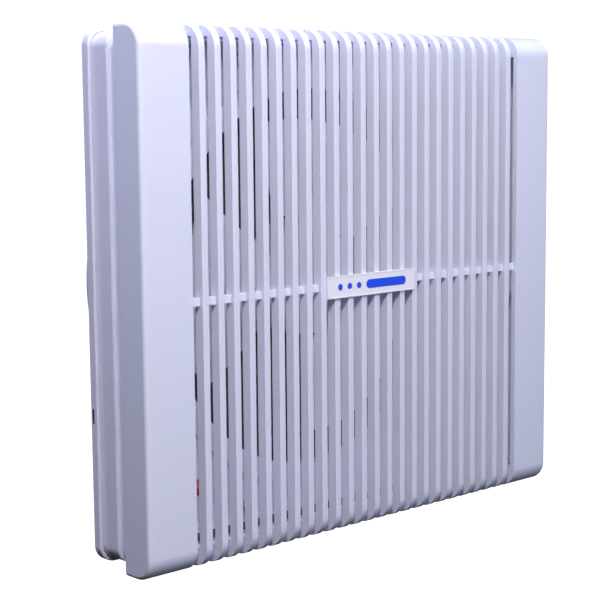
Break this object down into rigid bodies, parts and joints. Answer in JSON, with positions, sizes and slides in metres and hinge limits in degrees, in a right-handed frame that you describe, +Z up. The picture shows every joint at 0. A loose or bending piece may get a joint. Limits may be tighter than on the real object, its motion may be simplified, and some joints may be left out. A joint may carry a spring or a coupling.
{
  "type": "heat recovery unit",
  "caption": "Wall-mounted heat recovery unit: white slatted room cover on a stepped casing, with reversing fan, filter, core and shutter in a short round sleeve.",
  "frame": {"origin": "centre of the wall plate's rear face, which lies on the wall, at the middle of its four screw holes", "axes": "+Y into the wall along the sleeve and the fan axis, +X along the width, to the right seen from the room, +Z up"},
  "size_m": [0.306, 0.1112, 0.272],
  "materials": {
    "cover_white": "smooth moulded, satin gloss",
    "casing_white": "smooth moulded, satin gloss",
    "badge_white": "gloss",
    "badge_blue": "gloss print",
    "fan_white": "satin",
    "housing_grey": "fine texture",
    "sleeve_white": "satin",
    "foam_black": "closed-cell foam",
    "grommet_rubber": "matte",
    "steel": "zinc plated",
    "magnet": "ferrite",
    "laminations": "stacked sheet",
    "copper": "enamelled wire",
    "brass": "turned",
    "board_green": "solder mask",
    "component_black": "moulded",
    "filter_grey": "non-woven, carbon black",
    "core_ceramic": "extruded honeycomb",
    "control_grey": "satin",
    "terminal_white": "satin",
    "lamp_red": "red lens"
  },
  "bodies": {
    "casing": {"rear_casing": "casing_white", "bell_mouth": "casing_white", "front_seal": "foam_black", "casing_screws": "steel", "wall_plate": "casing_white", "slot_plug": "grommet_rubber", "wall_sleeve": "sleeve_white", "sleeve_seal": "foam_black", "fan_housing": "housing_grey", "bearing_tube": "brass", "front_bearing": "steel", "rear_bearing": "steel", "stator_core": "laminations", "stator_windings": "copper", "motor_board": "board_green", "motor_screws": "steel", "filter_frame": "control_grey", "filter_media": "filter_grey", "core_block": "core_ceramic", "core_wrap": "foam_black", "rear_frame": "sleeve_white", "shutter_actuator": "component_black", "control_box": "control_grey", "control_lid": "control_grey", "lid_screws": "steel", "control_board": "board_green", "board_parts": "component_black", "terminal_block": "terminal_white", "cable_grommet": "grommet_rubber", "lamp_holder": "casing_white", "lamp_lens": "lamp_red"},
    "cover": {"cover_frame": "cover_white", "slat_grille": "cover_white", "badge_plate": "badge_white", "badge_inlay": "badge_blue", "cover_clips": "cover_white"},
    "fan": {"impeller": "fan_white", "hub_cap": "fan_white", "rotor_cup": "steel", "rotor_magnet": "magnet", "motor_shaft": "steel", "retaining_clip": "steel"},
    "flap_1": {"shutter_flap_1": "sleeve_white"},
    "flap_2": {"shutter_flap_2": "sleeve_white"},
    "flap_3": {"shutter_flap_3": "sleeve_white"},
    "flap_4": {"shutter_flap_4": "sleeve_white"},
    "link": {"link_bar": "steel"}
  },
  "joints": [
    {"name": "fan_spin", "type": "hinge", "parent": "casing", "child": "fan", "pos_m": [0, 0.01, 0], "axis": [0, 1, 0], "continuous": true},
    {"name": "cover_off", "type": "slide", "parent": "casing", "child": "cover", "axis": [0, -1, 0], "range_m": [0, 0.06]},
    {"name": "shutter_open", "type": "hinge", "parent": "casing", "child": "flap_1", "pos_m": [0, 0.0588, 0.0655], "axis": [1, 0, 0], "range_deg": [0, 75]},
    {"name": "flap_2_turn", "type": "hinge", "parent": "casing", "child": "flap_2", "pos_m": [0, 0.0588, 0.0315], "axis": [1, 0, 0], "range_deg": [0, 75]},
    {"name": "flap_3_turn", "type": "hinge", "parent": "casing", "child": "flap_3", "pos_m": [0, 0.0588, -0.0025], "axis": [1, 0, 0], "range_deg": [0, 75]},
    {"name": "flap_4_turn", "type": "hinge", "parent": "casing", "child": "flap_4", "pos_m": [0, 0.0588, -0.0365], "axis": [1, 0, 0], "range_deg": [0, 75]},
    {"name": "link_swing", "type": "hinge", "parent": "flap_1", "child": "link", "pos_m": [0.0615, 0.0528, 0.0655], "axis": [1, 0, 0], "range_deg": [-75, 0]}
  ],
  "couplings": [
    {"joint": "flap_2_turn", "follows": "shutter_open", "ratio": 1},
    {"joint": "flap_3_turn", "follows": "shutter_open", "ratio": 1},
    {"joint": "flap_4_turn", "follows": "shutter_open", "ratio": 1},
    {"joint": "link_swing", "follows": "shutter_open", "ratio": -1}
  ]
}
